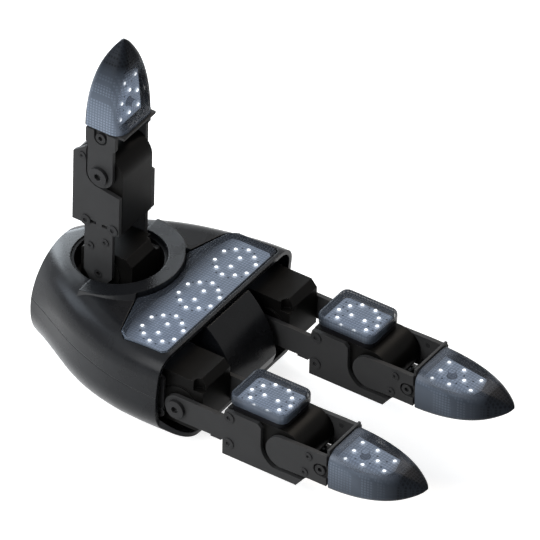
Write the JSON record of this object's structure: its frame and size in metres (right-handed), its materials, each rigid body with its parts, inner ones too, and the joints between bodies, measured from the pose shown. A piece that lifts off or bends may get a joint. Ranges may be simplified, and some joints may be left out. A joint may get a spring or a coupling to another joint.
{
  "type": "dexterous robot hand",
  "caption": "Robot hand with two fingers and an opposed swivelling thumb, jointed links with motors between plates, clear sensing pads and fingertips, and a moulded palm.",
  "frame": {"origin": "centre of the wrist flange's outer face", "axes": "+X out along the fingers, +Z out of the palm side where the thumb stands, +Y to the far finger"},
  "size_m": [0.1797, 0.088, 0.1437],
  "materials": {
    "shell_black": "satin moulded black",
    "ring_black": "satin black",
    "flange_metal": "black anodised",
    "chassis_metal": "satin",
    "board_green": "solder mask",
    "motor_black": "satin black, slightly warm",
    "clear_cover": "clear, fine moulded grid",
    "sensor_board": "pale board with lamps",
    "plate_grey": "dark grey, matte",
    "bolt_grey": "dark grey, satin",
    "tip_metal": "satin grey",
    "gasket_black": "matte",
    "bracket_grey": "satin grey"
  },
  "bodies": {
    "palm": {"control_board": "board_green", "far_base_bracket": "bracket_grey", "far_base_motor": "motor_black", "front_panel": "shell_black", "hub_ring": "ring_black", "near_base_bracket": "bracket_grey", "near_base_motor": "motor_black", "palm_chassis": "chassis_metal", "palm_lower_shell": "shell_black", "palm_pad_board": "sensor_board", "palm_pad_cover": "clear_cover", "palm_upper_shell": "shell_black", "thumb_swivel_motor": "motor_black", "wrist_flange": "flange_metal"},
    "thumb_base": {"thumb_turntable": "ring_black", "thumb_base_motor": "motor_black"},
    "thumb_link": {"thumb_base_bolts": "bolt_grey", "thumb_far_plate": "plate_grey", "thumb_middle_motor": "motor_black", "thumb_near_plate": "plate_grey", "thumb_plate_screws": "bolt_grey"},
    "thumb_tip": {"thumb_tip_board": "sensor_board", "thumb_tip_core": "tip_metal", "thumb_tip_cover": "clear_cover", "thumb_yoke": "plate_grey", "thumb_yoke_bolts": "bolt_grey"},
    "near_link": {"near_base_bolts": "bolt_grey", "near_far_plate": "plate_grey", "near_link_tie": "bracket_grey", "near_middle_motor": "motor_black", "near_near_plate": "plate_grey", "near_pad_base": "gasket_black", "near_pad_board": "sensor_board", "near_pad_cover": "clear_cover", "near_plate_screws": "bolt_grey"},
    "near_tip": {"near_tip_board": "sensor_board", "near_tip_core": "tip_metal", "near_tip_cover": "clear_cover", "near_yoke": "plate_grey", "near_yoke_bolts": "bolt_grey"},
    "far_link": {"far_base_bolts": "bolt_grey", "far_far_plate": "plate_grey", "far_link_tie": "bracket_grey", "far_middle_motor": "motor_black", "far_near_plate": "plate_grey", "far_pad_base": "gasket_black", "far_pad_board": "sensor_board", "far_pad_cover": "clear_cover", "far_plate_screws": "bolt_grey"},
    "far_tip": {"far_tip_board": "sensor_board", "far_tip_core": "tip_metal", "far_tip_cover": "clear_cover", "far_yoke": "plate_grey", "far_yoke_bolts": "bolt_grey"}
  },
  "joints": [
    {"name": "thumb_swivel", "type": "hinge", "parent": "palm", "child": "thumb_base", "pos_m": [0.025, 0, 0.0207], "axis": [0, 0, 1], "range_deg": [-60, 60]},
    {"name": "thumb_pitch", "type": "hinge", "parent": "thumb_base", "child": "thumb_link", "pos_m": [0.0235, 0, 0.0207], "axis": [0, -1, 0], "range_deg": [-50, 41]},
    {"name": "thumb_distal", "type": "hinge", "parent": "thumb_link", "child": "thumb_tip", "pos_m": [0.0235, 0, 0.0665], "axis": [0, 1, 0], "range_deg": [0, 100]},
    {"name": "near_base", "type": "hinge", "parent": "palm", "child": "near_link", "pos_m": [0.0777, -0.0285, 0.0016], "axis": [0, -1, 0], "range_deg": [0, 90]},
    {"name": "near_middle", "type": "hinge", "parent": "near_link", "child": "near_tip", "pos_m": [0.1235, -0.0285, 0.0016], "axis": [0, -1, 0], "range_deg": [0, 100]},
    {"name": "far_base", "type": "hinge", "parent": "palm", "child": "far_link", "pos_m": [0.0777, 0.0285, 0.0016], "axis": [0, -1, 0], "range_deg": [0, 90]},
    {"name": "far_middle", "type": "hinge", "parent": "far_link", "child": "far_tip", "pos_m": [0.1235, 0.0285, 0.0016], "axis": [0, -1, 0], "range_deg": [0, 100]}
  ]
}
